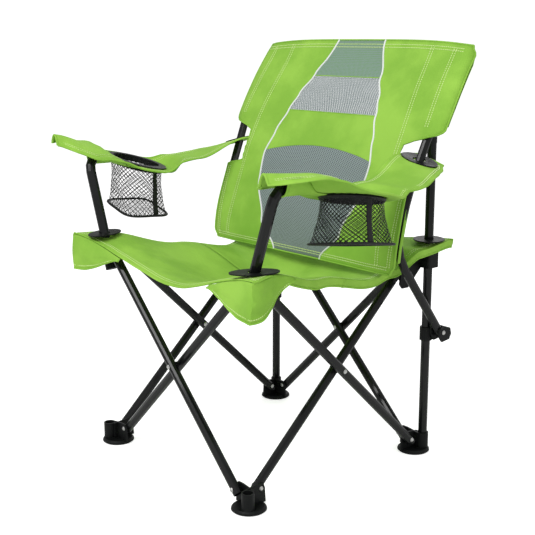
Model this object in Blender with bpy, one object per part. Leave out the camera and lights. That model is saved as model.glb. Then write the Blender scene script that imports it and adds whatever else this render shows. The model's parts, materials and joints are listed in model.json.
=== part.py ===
"""Folding camp chair: four scissor frames on four feet, with a sling seat, a lumbar back and two arms.

Metres, +Z up. The origin is on the floor between the four feet. The sitter faces -Y and +X is their left.
Each scissor has an outer and an inner tube, and the four scissors repeat by quarter turns about +Z.
"""

import math

import bmesh
import bpy
from mathutils import Matrix, Vector

# Frame
FOOT_HALF = 0.242          # foot centre to the chair's middle, along X and Y
PIVOT_INSET = 0.029        # foot or hub centre to a tube's end pivot, along the scissor
PIVOT_LOW = 0.037          # height of the foot pivots
PIVOT_HIGH = 0.447         # height of the hub pivots
PLANE_STEP = 0.011         # each scissor tube's plane, in or out from the feet's line

# Tubes
CROSS_RADIUS = 0.010
CROSS_WALL = 0.0014
TUBE_TAIL = 0.012          # tube beyond its end pivot
POST_RADIUS = 0.011
UPRIGHT_RADIUS = 0.010
POLE_RADIUS = 0.0095
TUBE_SIDES = 12

# Fasteners and fits
GAP = 0.0004               # faces that touch on the real chair
RUN_GAP = 0.0005           # a pin or a slide in its hole
RIVET_RADIUS = 0.0026
BOLT_RADIUS = 0.0032
HEAD_RADIUS = 0.0052
HEAD_HEIGHT = 0.0024
LUG_THICKNESS = 0.004

# Feet and hubs
DISC_RADIUS = 0.0365
DISC_HEIGHT = 0.009
SOCKET_WALL = 0.0028
SOCKET_OFFSET = 0.014      # foot centre to the corner socket, along X and Y
SOCKET_TOP = 0.044
SLIDER_LOW = 0.428
SLIDER_HIGH = 0.466
SLIDER_WALL = 0.0065
EAR_DROP = 0.060           # rear hub's ears below their pivots

# Front posts
POST_FOOT = (0.2395, -0.246, 0.415)   # bottom of the post in its hub
POST_BEND = (0.328, -0.246, 0.655)    # where the post turns back under the arm
POST_REACH = 0.006                    # the level stretch under the arm
POST_CURVE = 0.034                    # bend radius

# Rear uprights and back poles
UPRIGHT_TOP = 0.712
CAP_DEPTH = 0.012          # the cap on an upright's top
CAP_RISE = 0.0016
POLE_PIVOT = (0.285, 0.272, 0.277)
POLE_TOP_X = 0.311
POLE_LIFT = 0.010          # pole's end below its pivot bolt
POLE_TOP_Z = 0.893
CLAMP_HEIGHT = 0.030

# Seat and back
SEAT_Z = 0.487
CLOTH = 0.0026
BACK_LOW = 0.438
BACK_HIGH = 0.903
BACK_GAP = 0.0028          # back cloth to the poles behind it
NOTCH_LOW = 0.628
NOTCH_HIGH = 0.704
BACK_HALF = 0.334
NOTCH_HALF = 0.244
WING_HALF = 0.304
FLAP_FRONT = 0.160         # corner flap's reach along the seat's front edge
FLAP_SIDE = 0.125          # and along its side edge
FLAP_DROP = 0.072
FLAP_GAP = 0.004           # flap's top edge under the seat's cloth
SEAT_FRONT = -0.292
SEAT_REAR = 0.304
FRONT_BOW = 0.030          # how far the front edge bows in at its middle

# Arms
RING_CENTRE = (0.367, -0.092, 0.633)
RING_OUTER = 0.075
RING_INNER = 0.056
RING_TILT_X = 0.17         # slope of the ring's plane outwards
RING_TILT_Y = -0.205       # and along the arm
RING_SEAT = 0.0018         # flange to the cloth under it
POUCH_DEPTH = 0.118
POUCH_RADIUS = 0.0675
POUCH_WALL = 0.0022
ARM_CLOTH = 0.0026

ARM_FRONT = -0.3069
ARM_REAR = 0.200
ARM_HOLE_Z = 0.668         # where the pole passes the arm

PLATE_THICKNESS = 0.0022
FRONT_PLATE = (0.050, 0.029)
REAR_PLATE = (0.034, 0.040)
ARM_PLATE = (0.045, 0.027)

COLOURS = {
    "fabric": ((0.24, 0.56, 0.06), 0.85, 0.0),
    "mesh": ((0.02, 0.02, 0.02), 0.8, 0.0),
    "tube": ((0.012, 0.013, 0.014), 0.25, 0.3),
    "plastic": ((0.02, 0.022, 0.024), 0.5, 0.0),
    "steel": ((0.6, 0.6, 0.58), 0.3, 1.0),
}


# Shared tools


def clear_scene():
    for old in list(bpy.data.objects):
        bpy.data.objects.remove(old, do_unlink=True)


def material(kind, name):
    colour, roughness, metallic = COLOURS[kind]
    made = bpy.data.materials.new(name)
    made.use_nodes = True
    shader = made.node_tree.nodes["Principled BSDF"]
    shader.inputs["Base Color"].default_value = (*colour, 1.0)
    shader.inputs["Roughness"].default_value = roughness
    shader.inputs["Metallic"].default_value = metallic
    return made


def add(name, bm, kind=None, origin=(0, 0, 0)):
    """Make an object of a bmesh, with its origin at a joint's axis. Without a kind it is a hidden cutter."""
    bmesh.ops.recalc_face_normals(bm, faces=bm.faces)
    bmesh.ops.translate(bm, verts=bm.verts, vec=-Vector(origin))
    mesh = bpy.data.meshes.new(name)
    bm.to_mesh(mesh)
    bm.free()
    mesh.shade_smooth()
    mesh.set_sharp_from_angle(angle=math.radians(40))
    made = bpy.data.objects.new(name, mesh)
    made.location = origin
    bpy.context.scene.collection.objects.link(made)
    if kind:
        mesh.materials.append(material(kind, name))
    else:
        made.hide_render = True
        made.display_type = "WIRE"
    return made


def boolean(target, other, operation):
    modifier = target.modifiers.new(operation.lower(), "BOOLEAN")
    modifier.operation = operation
    modifier.object = other
    modifier.solver = "EXACT"


def quarter_turn(turns):
    return Matrix.Rotation(turns * math.pi / 2, 4, "Z")


def turned_to(direction):
    """The rotation that takes +Z to a direction."""
    return Vector(direction).to_track_quat("Z", "Y").to_matrix().to_4x4()


def rod(bm, start, end, radius, sides=8):
    """A closed cylinder between two points."""
    start = Vector(start)
    run = Vector(end) - start
    place = Matrix.Translation(start + run / 2) @ turned_to(run)
    bmesh.ops.create_cone(bm, cap_ends=True, segments=sides, radius1=radius, radius2=radius,
                          depth=run.length, matrix=place)


def block(bm, low, high):
    """A closed box between two corners."""
    low = Vector(low)
    size = Vector(high) - low
    place = Matrix.Translation(low + size / 2) @ Matrix.Diagonal((*size, 1))
    bmesh.ops.create_cube(bm, size=1, matrix=place)


def plate(bm, outline, thickness, axis):
    """A flat outline extruded along an axis."""
    verts = [bm.verts.new(point) for point in outline]
    face = bm.faces.new(verts)
    shape = bmesh.ops.extrude_face_region(bm, geom=[face])["geom"]
    moved = [part for part in shape if isinstance(part, bmesh.types.BMVert)]
    bmesh.ops.translate(bm, verts=moved, vec=Vector(axis) * thickness)


def piece(fill, *values, **named):
    """A fresh bmesh filled by one of the shape functions."""
    bm = bmesh.new()
    fill(bm, *values, **named)
    return bm


def cutter(name, fill, *values, **named):
    return add(name, piece(fill, *values, **named))


def tube_along(points, radius, wall, sides=TUBE_SIDES):
    """A hollow tube swept along points, open at both ends."""
    points = [Vector(point) for point in points]
    tangents = []
    for index in range(len(points)):
        before = points[max(index - 1, 0)]
        after = points[min(index + 1, len(points) - 1)]
        tangents.append((after - before).normalized())
    place = Matrix.Translation(points[0]) @ turned_to(tangents[0])
    bm = bmesh.new()
    bmesh.ops.create_circle(bm, cap_ends=True, segments=sides, radius=radius, matrix=place)
    disc = bm.faces[:]
    bmesh.ops.inset_region(bm, faces=disc, thickness=wall, use_boundary=True, use_even_offset=True)
    bmesh.ops.delete(bm, geom=disc, context="FACES_ONLY")
    end = bm.faces[:]
    for index in range(1, len(points)):
        turn = tangents[index - 1].rotation_difference(tangents[index]).to_matrix().to_4x4()
        rotation = turn @ place.to_3x3().to_4x4()
        now = Matrix.Translation(points[index]) @ rotation
        shape = bmesh.ops.extrude_face_region(bm, geom=end)["geom"]
        if index > 1:
            bmesh.ops.delete(bm, geom=end, context="FACES_ONLY")  # they would be walls inside the tube
        verts = [part for part in shape if isinstance(part, bmesh.types.BMVert)]
        end = [part for part in shape if isinstance(part, bmesh.types.BMFace)]
        bmesh.ops.transform(bm, verts=verts, matrix=now @ place.inverted())
        place = now
    return bm


def turned(profile, sides=24):
    """A closed solid turned about Z from (radius, height) pairs, whose ends lie on the axis or meet."""
    bm = bmesh.new()
    verts = [bm.verts.new((radius, 0, height)) for radius, height in profile]
    edges = [bm.edges.new(pair) for pair in zip(verts, verts[1:])]
    if profile[0][0] > 0:
        edges.append(bm.edges.new((verts[-1], verts[0])))
    bmesh.ops.spin(bm, geom=verts + edges, cent=(0, 0, 0), axis=(0, 0, 1), angle=2 * math.pi,
                   steps=sides, use_merge=True)
    bmesh.ops.remove_doubles(bm, verts=bm.verts, dist=1e-6)
    return bm


def pin(name, start, axis, length, radius, origin=None, blind=False):
    """A rivet or bolt from start, with a domed head at each end, or at its far end only if it is blind."""
    first_head = [(0, -HEAD_HEIGHT), (HEAD_RADIUS * 0.65, -HEAD_HEIGHT * 0.8), (HEAD_RADIUS, 0)]
    profile = [
        *([(0, 0)] if blind else first_head),
        (radius, 0),
        (radius, length),
        (HEAD_RADIUS, length),
        (HEAD_RADIUS * 0.65, length + HEAD_HEIGHT * 0.8),
        (0, length + HEAD_HEIGHT),
    ]
    bm = turned(profile, 8)
    bmesh.ops.transform(bm, verts=bm.verts, matrix=Matrix.Translation(Vector(start)) @ turned_to(axis))
    return add(name, bm, "steel", origin or start)


def stations(table, at):
    """A smooth value through (place, value) pairs in rising order of place."""
    if at <= table[0][0]:
        return table[0][1]
    for (low, first), (high, second) in zip(table, table[1:]):
        if at <= high:
            share = (at - low) / (high - low)
            share = share * share * (3 - 2 * share)
            return first + (second - first) * share
    return table[-1][1]


def sheet(name, columns, rows, place, thickness, kind="fabric"):
    """A cloth panel: place(u, v) gives the middle of the cloth, with u and v from 0 to 1."""
    bm = bmesh.new()
    bmesh.ops.create_grid(bm, x_segments=columns, y_segments=rows, size=0.5)
    for vert in bm.verts:
        vert.co = Vector(place(vert.co.x + 0.5, vert.co.y + 0.5))
    made = add(name, bm, kind)
    solid = made.modifiers.new("thickness", "SOLIDIFY")
    solid.thickness = thickness
    solid.offset = 0
    return made


# The scissor frame


CROSS_MIDDLE = (PIVOT_LOW + PIVOT_HIGH) / 2
PIVOT_HALF = FOOT_HALF - PIVOT_INSET
SPACER = 2 * (PLANE_STEP - CROSS_RADIUS) - 2 * GAP
CORNERS = ("front_left", "rear_left", "rear_right", "front_right")
SIDES = ("front", "left", "rear", "right")


def front_pivot(at_left, high, outer):
    """A tube's end pivot in the front scissor."""
    plane = -FOOT_HALF - PLANE_STEP if outer else -FOOT_HALF + PLANE_STEP
    return Vector((PIVOT_HALF if at_left else -PIVOT_HALF, plane, PIVOT_HIGH if high else PIVOT_LOW))


def cross_tube(side, turns, outer):
    """One tube of a scissor. The outer one starts at the corner that the side is turned from."""
    low = front_pivot(outer, False, outer)
    high = front_pivot(not outer, True, outer)
    along = (high - low).normalized()
    bm = tube_along((low - along * TUBE_TAIL, high + along * TUBE_TAIL), CROSS_RADIUS, CROSS_WALL)
    spin = quarter_turn(turns)
    bmesh.ops.transform(bm, verts=bm.verts, matrix=spin)
    name = f"{side}_cross_{'outer' if outer else 'inner'}"
    made = add(name, bm, "tube", spin @ low)
    holes = bmesh.new()
    across = Vector((0, CROSS_RADIUS * 2, 0))
    middle = Vector((0, low.y, CROSS_MIDDLE))
    for point, radius in ((low, RIVET_RADIUS), (middle, BOLT_RADIUS), (high, RIVET_RADIUS)):
        rod(holes, point - across, point + across, radius + RUN_GAP)
    bmesh.ops.transform(holes, verts=holes.verts, matrix=spin)
    boolean(made, add(name + "_holes", holes), "DIFFERENCE")


def cross_bolt(side, turns):
    """The bolt at the middle of a scissor, and the spacer between its tubes."""
    spin = quarter_turn(turns)
    middle = Vector((0, -FOOT_HALF, CROSS_MIDDLE))
    reach = PLANE_STEP + CROSS_RADIUS + GAP
    pin(f"{side}_cross_bolt", spin @ (middle - Vector((0, reach, 0))), spin.to_3x3() @ Vector((0, 1, 0)),
        2 * reach, BOLT_RADIUS)
    inner = BOLT_RADIUS + RUN_GAP
    bm = turned([(inner, -SPACER / 2), (0.0078, -SPACER / 2), (0.0078, SPACER / 2), (inner, SPACER / 2)], 12)
    place = spin @ Matrix.Translation(middle) @ turned_to((0, 1, 0))
    bmesh.ops.transform(bm, verts=bm.verts, matrix=place)
    add(f"{side}_cross_spacer", bm, "plastic", spin @ middle)


def lug_outline(points, at, axis):
    """Flat outline points (along, height) placed in the plane of a lug."""
    return [(along, at, height) if axis == "y" else (at, along, height) for along, height in points]


LUG_NEAR = GAP + CROSS_RADIUS          # pivot plane to the lug's near face
LUG_FAR = LUG_NEAR + LUG_THICKNESS


def foot(corner, turns):
    """A foot: a round base, the corner socket and the two lugs that the tubes are riveted to."""
    spin = quarter_turn(turns)
    centre = Vector((FOOT_HALF, -FOOT_HALF, 0))
    outer_pivot = front_pivot(True, False, True)
    inner_pivot = Vector((FOOT_HALF - PLANE_STEP, -PIVOT_HALF, PIVOT_LOW))
    socket = centre + Vector((SOCKET_OFFSET, -SOCKET_OFFSET, 0))
    bore = UPRIGHT_RADIUS + GAP
    base = [(0, 0), (DISC_RADIUS - 0.003, 0), (DISC_RADIUS, 0.0025), (DISC_RADIUS - 0.0008, 0.006),
            (DISC_RADIUS - 0.004, DISC_HEIGHT), (0, DISC_HEIGHT)]
    bm = turned(base, 28)
    bmesh.ops.translate(bm, verts=bm.verts, vec=centre)
    bmesh.ops.transform(bm, verts=bm.verts, matrix=spin)
    made = add(f"foot_{corner}", bm, "plastic", spin @ centre)

    top = PIVOT_LOW + 0.011
    low = DISC_HEIGHT - 0.003
    start = outer_pivot.x - 0.010
    first = [(start - 0.002, low), (centre.x + 0.012, low), (centre.x + 0.012, top - 0.004),
             (outer_pivot.x + 0.008, top), (outer_pivot.x - 0.006, top), (start, PIVOT_LOW)]
    begin = inner_pivot.y + 0.010
    second = [(begin + 0.002, low), (centre.y - 0.012, low), (centre.y - 0.012, top - 0.004),
              (inner_pivot.y - 0.008, top), (inner_pivot.y + 0.006, top), (begin, PIVOT_LOW)]
    lugs = (
        (lug_outline(first, outer_pivot.y + LUG_NEAR, "y"), (0, 1, 0)),
        (lug_outline(second, inner_pivot.x + LUG_NEAR, "x"), (1, 0, 0)),
    )
    for index, (outline, axis) in enumerate(lugs):
        lug = piece(plate, outline, LUG_THICKNESS, axis)
        bmesh.ops.transform(lug, verts=lug.verts, matrix=spin)
        boolean(made, add(f"foot_{corner}_lug{index}", lug), "UNION")
    sleeve = piece(rod, socket + Vector((0, 0, low)), socket + Vector((0, 0, SOCKET_TOP)),
                   bore + SOCKET_WALL, 20)
    bmesh.ops.transform(sleeve, verts=sleeve.verts, matrix=spin)
    boolean(made, add(f"foot_{corner}_socket", sleeve), "UNION")
    cuts = piece(rod, socket + Vector((0, 0, 0.0052)), socket + Vector((0, 0, SOCKET_TOP + 0.01)), bore, 20)
    for pivot, axis in ((outer_pivot, Vector((0, 1, 0))), (inner_pivot, Vector((1, 0, 0)))):
        reach = axis * (LUG_FAR + 0.003)
        rod(cuts, pivot + axis * (LUG_NEAR - 0.003), pivot + reach, RIVET_RADIUS + GAP)
    bmesh.ops.transform(cuts, verts=cuts.verts, matrix=spin)
    boolean(made, add(f"foot_{corner}_cuts", cuts), "DIFFERENCE")

    turn = spin.to_3x3()
    length = CROSS_RADIUS + GAP + LUG_FAR + GAP
    for label, pivot, axis in (("a", outer_pivot, Vector((0, 1, 0))), ("b", inner_pivot, Vector((1, 0, 0)))):
        start_at = pivot - axis * (CROSS_RADIUS + GAP)
        pin(f"foot_{corner}_rivet_{label}", spin @ start_at, turn @ axis, length, RIVET_RADIUS, spin @ pivot)


def hub_pins(made, name, spin, pivots):
    """The moulded pivot pins of a hub, one through each tube's end, with a flat head."""
    for index, (pivot, axis, lug_side) in enumerate(pivots):
        inside = pivot + axis * lug_side * (LUG_NEAR + LUG_THICKNESS / 2)
        tip = pivot - axis * lug_side * (CROSS_RADIUS + 2 * GAP)
        head = tip - axis * lug_side * HEAD_HEIGHT
        for label, one, two, radius in (("pin", inside, head, RIVET_RADIUS),
                                        ("head", tip, head, HEAD_RADIUS)):
            shape = piece(rod, one, two, radius)
            bmesh.ops.transform(shape, verts=shape.verts, matrix=spin)
            boolean(made, add(f"{name}_{label}{index}", shape), "UNION")


def rear_slider(corner, turns):
    """The hub that slides on a rear upright, with an ear for each of its two tubes."""
    # Worked out at the rear left corner, which a turn takes to the rear right one.
    spin = quarter_turn(turns)
    centre = Vector((FOOT_HALF, FOOT_HALF, 0))
    post = centre + Vector((SOCKET_OFFSET, SOCKET_OFFSET, 0))
    side_pivot = Vector((FOOT_HALF - PLANE_STEP, PIVOT_HALF, PIVOT_HIGH))
    rear_pivot = Vector((PIVOT_HALF, FOOT_HALF + PLANE_STEP, PIVOT_HIGH))
    bore = UPRIGHT_RADIUS + RUN_GAP
    half = bore + SLIDER_WALL
    inward = side_pivot.x + LUG_NEAR
    low = Vector((rear_pivot.y - LUG_FAR, rear_pivot.y - LUG_FAR, SLIDER_LOW))
    bm = piece(block, low, (post.x + half, post.y + half, SLIDER_HIGH))
    bmesh.ops.bevel(bm,
                    geom=[edge for edge in bm.edges if abs(edge.verts[0].co.z - edge.verts[1].co.z) > 0.01],
                    offset=0.005, segments=2, affect="EDGES", profile=0.5, material=-1)
    bmesh.ops.transform(bm, verts=bm.verts, matrix=spin)
    name = f"rear_slider_{corner}"
    made = add(name, bm, "plastic", spin @ Vector((post.x, post.y, PIVOT_HIGH)))
    drop = PIVOT_HIGH - EAR_DROP
    ends = post.x - 0.004
    ear = [(ends, SLIDER_HIGH - 0.003), (side_pivot.y - 0.014, SLIDER_HIGH - 0.003),
           (side_pivot.y - 0.030, PIVOT_HIGH - 0.020), (side_pivot.y - 0.034, drop + 0.010),
           (side_pivot.y - 0.026, drop), (side_pivot.y - 0.008, drop), (ends, SLIDER_LOW + 0.006)]
    ears = (
        (lug_outline(ear, inward, "x"), (1, 0, 0)),
        (lug_outline(ear, rear_pivot.y - LUG_NEAR - LUG_THICKNESS, "y"), (0, 1, 0)),
    )
    for index, (outline, axis) in enumerate(ears):
        shape = piece(plate, outline, LUG_THICKNESS, axis)
        bmesh.ops.transform(shape, verts=shape.verts, matrix=spin)
        boolean(made, add(f"{name}_ear{index}", shape), "UNION")
    hole = piece(rod, (post.x, post.y, SLIDER_LOW - 0.05), (post.x, post.y, SLIDER_HIGH + 0.05), bore, 20)
    bmesh.ops.transform(hole, verts=hole.verts, matrix=spin)
    boolean(made, add(f"{name}_hole", hole), "DIFFERENCE")
    hub_pins(made, name, spin, ((side_pivot, Vector((1, 0, 0)), 1), (rear_pivot, Vector((0, 1, 0)), -1)))


def post_axis():
    return (Vector(POST_BEND) - Vector(POST_FOOT)).normalized()


def mirrored(bm, left):
    """Left-hand shapes as they are, and right-hand ones mirrored in X."""
    if not left:
        bmesh.ops.scale(bm, vec=(-1, 1, 1), verts=bm.verts)
        bmesh.ops.reverse_faces(bm, faces=bm.faces)
    return bm


def front_hub(corner, left):
    """The front hub under the seat: a sleeve on the post's foot and a lug for each of its two tubes."""
    # Worked out at the front left corner. At the front right one the two tubes swap planes.
    step = PLANE_STEP if left else -PLANE_STEP
    lug_side = -1 if left else 1
    front_at = Vector((PIVOT_HALF, -FOOT_HALF + step, PIVOT_HIGH))
    side_at = Vector((FOOT_HALF + step, -PIVOT_HALF, PIVOT_HIGH))
    axis = post_axis()
    foot_at = Vector(POST_FOOT)
    bore = POST_RADIUS + GAP
    outer = bore + 0.0032
    bm = mirrored(piece(rod, foot_at - axis * 0.004, foot_at + axis * 0.052, outer, 20), left)
    name = f"front_hub_{corner}"
    made = add(name, bm, "plastic", (FOOT_HALF if left else -FOOT_HALF, -FOOT_HALF, PIVOT_HIGH))
    top = PIVOT_HIGH + 0.012
    low = PIVOT_HIGH - 0.020
    lug_start = -LUG_FAR if left else LUG_NEAR
    front_face = front_at.y + lug_start
    side_face = side_at.x + lug_start
    front_lug = [(front_at.x - 0.011, PIVOT_HIGH - 0.004), (front_at.x - 0.003, low), (0.246, low),
                 (0.246, top), (front_at.x - 0.006, top)]
    side_lug = [(side_at.y + 0.011, PIVOT_HIGH - 0.004), (side_at.y + 0.003, low), (-0.243, low),
                (-0.243, top), (side_at.y + 0.006, top)]
    for index, (outline, direction) in enumerate((
        (lug_outline(front_lug, front_face, "y"), (0, 1, 0)),
        (lug_outline(side_lug, side_face, "x"), (1, 0, 0)),
    )):
        shape = mirrored(piece(plate, outline, LUG_THICKNESS, direction), left)
        boolean(made, add(f"{name}_lug{index}", shape), "UNION")
    hole = mirrored(piece(rod, foot_at - axis * GAP, foot_at + axis * 0.08, bore, 20), left)
    boolean(made, add(f"{name}_hole", hole), "DIFFERENCE")
    flip = Matrix.Identity(4) if left else Matrix.Diagonal((-1, 1, 1, 1))
    hub_pins(made, name, flip, ((front_at, Vector((0, 1, 0)), lug_side),
                                (side_at, Vector((1, 0, 0)), lug_side)))


def post_route():
    """The front post: straight up and outwards, then a bend back to level under the arm."""
    foot_at = Vector(POST_FOOT)
    axis = post_axis()
    corner = Vector(POST_BEND)
    back = Vector((0, 1, 0))
    before = corner - axis * POST_CURVE
    after = corner + back * POST_CURVE
    bend = [before.lerp(corner, t).lerp(corner.lerp(after, t), t) for t in (0, 0.25, 0.5, 0.75, 1)]
    return [foot_at, *bend, after + back * POST_REACH]


def back_y(z):
    """Where the middle of the back's cloth lies, from its lumbar curve up to the reclined top."""
    share = (z - BACK_LOW) / (BACK_HIGH - BACK_LOW)
    return 0.095 + 0.045 * share + 0.153 * share * share


def pole_route():
    """The back pole: from its pivot up and forward to the lumbar bend, then up behind the back's cloth."""
    start = Vector(POLE_PIVOT)
    behind = CLOTH / 2 + BACK_GAP + POLE_RADIUS
    clear = 0.530
    route = [start]
    bend_low = Vector((0.287, 0.148, 0.440))
    bend_mid = Vector((0.2875, 0.116, 0.483))
    bend_high = Vector((0.289, back_y(clear) + behind, clear))
    route += [bend_low.lerp(bend_mid, t).lerp(bend_mid.lerp(bend_high, t), t) for t in (0, 0.33, 0.67, 1)]
    steps = 4
    for step in range(1, steps + 1):
        z = clear + (POLE_TOP_Z - clear) * step / steps
        x = bend_high.x + (POLE_TOP_X - bend_high.x) * step / steps
        route.append(Vector((x, back_y(z) + behind, z)))
    return route


def posts_and_poles(hand, left):
    add(f"front_post_{hand}", mirrored(tube_along(post_route(), POST_RADIUS, CROSS_WALL), left), "tube",
        Vector(POST_FOOT) * Vector((1 if left else -1, 1, 1)))
    sign = 1 if left else -1
    socket = Vector((sign * (FOOT_HALF + SOCKET_OFFSET), FOOT_HALF + SOCKET_OFFSET, 0.0056))
    top = Vector((socket.x, socket.y, UPRIGHT_TOP))
    upright = add(f"rear_upright_{hand}", tube_along((socket, top), UPRIGHT_RADIUS, CROSS_WALL), "tube",
                  socket)
    cap = cutter(f"rear_upright_{hand}_cap", rod, top - Vector((0, 0, CAP_DEPTH)),
                 top + Vector((0, 0, CAP_RISE)),
                 UPRIGHT_RADIUS + CAP_RISE / 2, 20)
    boolean(upright, cap, "UNION")
    pole = mirrored(tube_along(pole_route(), POLE_RADIUS, CROSS_WALL), left)
    pivot = Vector((sign * POLE_PIVOT[0], POLE_PIVOT[1], POLE_PIVOT[2]))
    made = add(f"back_pole_{hand}", pole, "tube", pivot)
    reach = Vector((POLE_RADIUS * 2, 0, 0))
    spot = pivot + (Vector(pole_route()[1]) - Vector(POLE_PIVOT)).normalized() * POLE_LIFT
    spot.x = pivot.x
    boolean(made, cutter(f"back_pole_{hand}_hole", rod, spot - reach, spot + reach, RIVET_RADIUS + RUN_GAP),
            "DIFFERENCE")


def pole_clamp(hand, left):
    """The clamp on the upright with two ears for the back pole's lower end, and its bolt."""
    sign = 1 if left else -1
    upright = Vector((FOOT_HALF + SOCKET_OFFSET, FOOT_HALF + SOCKET_OFFSET, POLE_PIVOT[2]))
    along = (Vector(pole_route()[1]) - Vector(POLE_PIVOT)).normalized()
    pivot = Vector(POLE_PIVOT) + Vector((0, along.y, along.z)) * POLE_LIFT
    bore = UPRIGHT_RADIUS + GAP
    half = Vector((0, 0, CLAMP_HEIGHT / 2))
    name = f"pole_clamp_{hand}"
    made = add(name, mirrored(piece(rod, upright - half, upright + half, bore + 0.0034, 20), left), "plastic",
               Vector((sign * pivot.x, pivot.y, pivot.z)))
    near = pivot.x - POLE_RADIUS - GAP - LUG_THICKNESS
    far = pivot.x + POLE_RADIUS + GAP
    ear = [(pivot.y + 0.026, pivot.z - 0.006), (pivot.y + 0.020, pivot.z - 0.018),
           (pivot.y - 0.004, pivot.z - 0.021),
           (pivot.y - 0.014, pivot.z - 0.008), (pivot.y - 0.013, pivot.z + 0.008),
           (pivot.y + 0.002, pivot.z + 0.014),
           (pivot.y + 0.022, pivot.z + 0.008)]
    web = [(pivot.y + 0.026, pivot.z - 0.006), (pivot.y + 0.020, pivot.z - 0.018),
           (pivot.y + 0.0175, pivot.z - 0.010),
           (pivot.y + 0.0178, pivot.z + 0.0095), (pivot.y + 0.022, pivot.z + 0.008)]
    ring_side = upright.x + bore + 0.001
    shapes = [(ring_side, near + LUG_THICKNESS, ear), (far, far + LUG_THICKNESS, ear),
              (near, far + LUG_THICKNESS, web)]
    for index, (first, last, outline) in enumerate(shapes):
        shape = mirrored(piece(plate, lug_outline(outline, first, "x"), last - first, (1, 0, 0)), left)
        boolean(made, add(f"{name}_part{index}", shape), "UNION")
    hole = mirrored(piece(rod, upright - half * 2, upright + half * 2, bore, 20), left)
    boolean(made, add(f"{name}_bore", hole), "DIFFERENCE")
    depth = Vector((pivot.x - near, 0, 0))
    pin_hole = mirrored(piece(rod, pivot - depth, pivot + depth, RIVET_RADIUS + GAP), left)
    boolean(made, add(f"{name}_pin_hole", pin_hole), "DIFFERENCE")
    start = Vector((sign * (near + GAP), pivot.y, pivot.z))
    pin(f"pole_bolt_{hand}", start, (sign, 0, 0), far + LUG_THICKNESS - near, RIVET_RADIUS,
        (sign * pivot.x, pivot.y, pivot.z), blind=True)


# Cloth, rings and plates


def seat_half_width(y):
    """Half the seat's width: widest at its corner tabs and drawn in between them."""
    return stations(((SEAT_FRONT, 0.322), (-0.19, 0.290), (-0.02, 0.256), (0.12, 0.250), (0.21, 0.280),
                     (SEAT_REAR, 0.284)), y)


def seat_height(x, y):
    """The sling's height: its sides hang between the hubs and its middle hangs below its sides."""
    side = stations(((-0.24, 0.0), (-0.06, 0.040), (0.09, 0.064), (0.15, 0.050), (0.205, 0.012),
                     (0.30, 0.0)), y)
    middle = stations(((-0.29, 0.064), (-0.1, 0.055), (0.05, 0.045), (0.15, 0.016), (0.19, 0.004)), y)
    across = min(abs(x) / seat_half_width(y), 1)
    return SEAT_Z - side - middle * (1 - across * across) ** 2


def seat_panel(name, y_from, y_to, bow_from, bow_to, rows):
    """Half of the sling, from one edge to the middle fold. Each end bows by its own amount in the middle."""

    def place(u, v):
        across = 2 * u - 1
        bow = 1 - across * across
        y = (y_from + bow_from * bow) * (1 - v) + (y_to + bow_to * bow) * v
        x = across * seat_half_width(y)
        return x, y, seat_height(x, y)

    return sheet(name, 12, rows, place, CLOTH)


def seat():
    fold = GAP
    front = seat_panel("seat_front_panel", SEAT_FRONT, -fold, FRONT_BOW, 0, 6)
    rear = seat_panel("seat_rear_panel", fold, SEAT_REAR, 0, -0.065, 6)
    tall = Vector((0, 0, 0.03))
    for sign, hand in ((1, "left"), (-1, "right")):
        post = post_at(SEAT_Z)
        for panel, corner, at, radius, size, spin in (
            (front, "front", Vector((sign * post.x, post.y, SEAT_Z)), POST_RADIUS + 0.0025, FRONT_PLATE,
             sign * 1.15),
            (rear, "rear", Vector((sign * (FOOT_HALF + SOCKET_OFFSET), FOOT_HALF + SOCKET_OFFSET, SEAT_Z)),
             UPRIGHT_RADIUS + 0.0015, REAR_PLATE, sign * 0.8),
        ):
            name = f"seat_plate_{corner}_{hand}"
            boolean(panel, cutter(name + "_hole", rod, at - tall, at + tall, radius + 0.002, 12),
                    "DIFFERENCE")
            low = at + Vector((0, 0, CLOTH / 2 + GAP))
            bm = piece(rod, (0, 0, 0), (0, 0, PLATE_THICKNESS), 1, 20)
            bmesh.ops.scale(bm, verts=bm.verts, vec=(*size, 1))
            bmesh.ops.rotate(bm, verts=bm.verts, cent=(0, 0, 0), matrix=Matrix.Rotation(spin, 3, "Z"))
            bmesh.ops.translate(bm, verts=bm.verts, vec=low)
            made = add(name, bm, "plastic", at)
            boolean(made, cutter(name + "_bore", rod, at - tall, at + tall, radius, 12), "DIFFERENCE")


def post_at(height):
    """The middle of the front left post at a height."""
    axis = post_axis()
    return Vector(POST_FOOT) + axis * ((height - POST_FOOT[2]) / axis.z)


def corner_flap(hand, sign):
    """The rounded flap that hangs from a front corner of the seat, over the hub."""
    corner = seat_half_width(SEAT_FRONT)

    def place(u, v):
        along = 2 * u - 1
        out = FLAP_GAP * (2 - v)
        if along < 0:
            x = corner + along * FLAP_FRONT
            y = SEAT_FRONT + FRONT_BOW * (1 - (x / corner) ** 2) - out
        else:
            y = SEAT_FRONT + along * FLAP_SIDE - out * (1 - along)
            x = seat_half_width(y) + out * along
        top = seat_height(min(x, corner), max(y, SEAT_FRONT)) - CLOTH - FLAP_GAP
        drop = FLAP_DROP * (1 - along * along) ** 1.5 + FLAP_GAP
        return sign * x, y, top - drop * (1 - v)

    made = sheet(f"corner_flap_{hand}", 12, 4, place, CLOTH * 0.8)
    if sign < 0:
        made.data.flip_normals()


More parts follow.
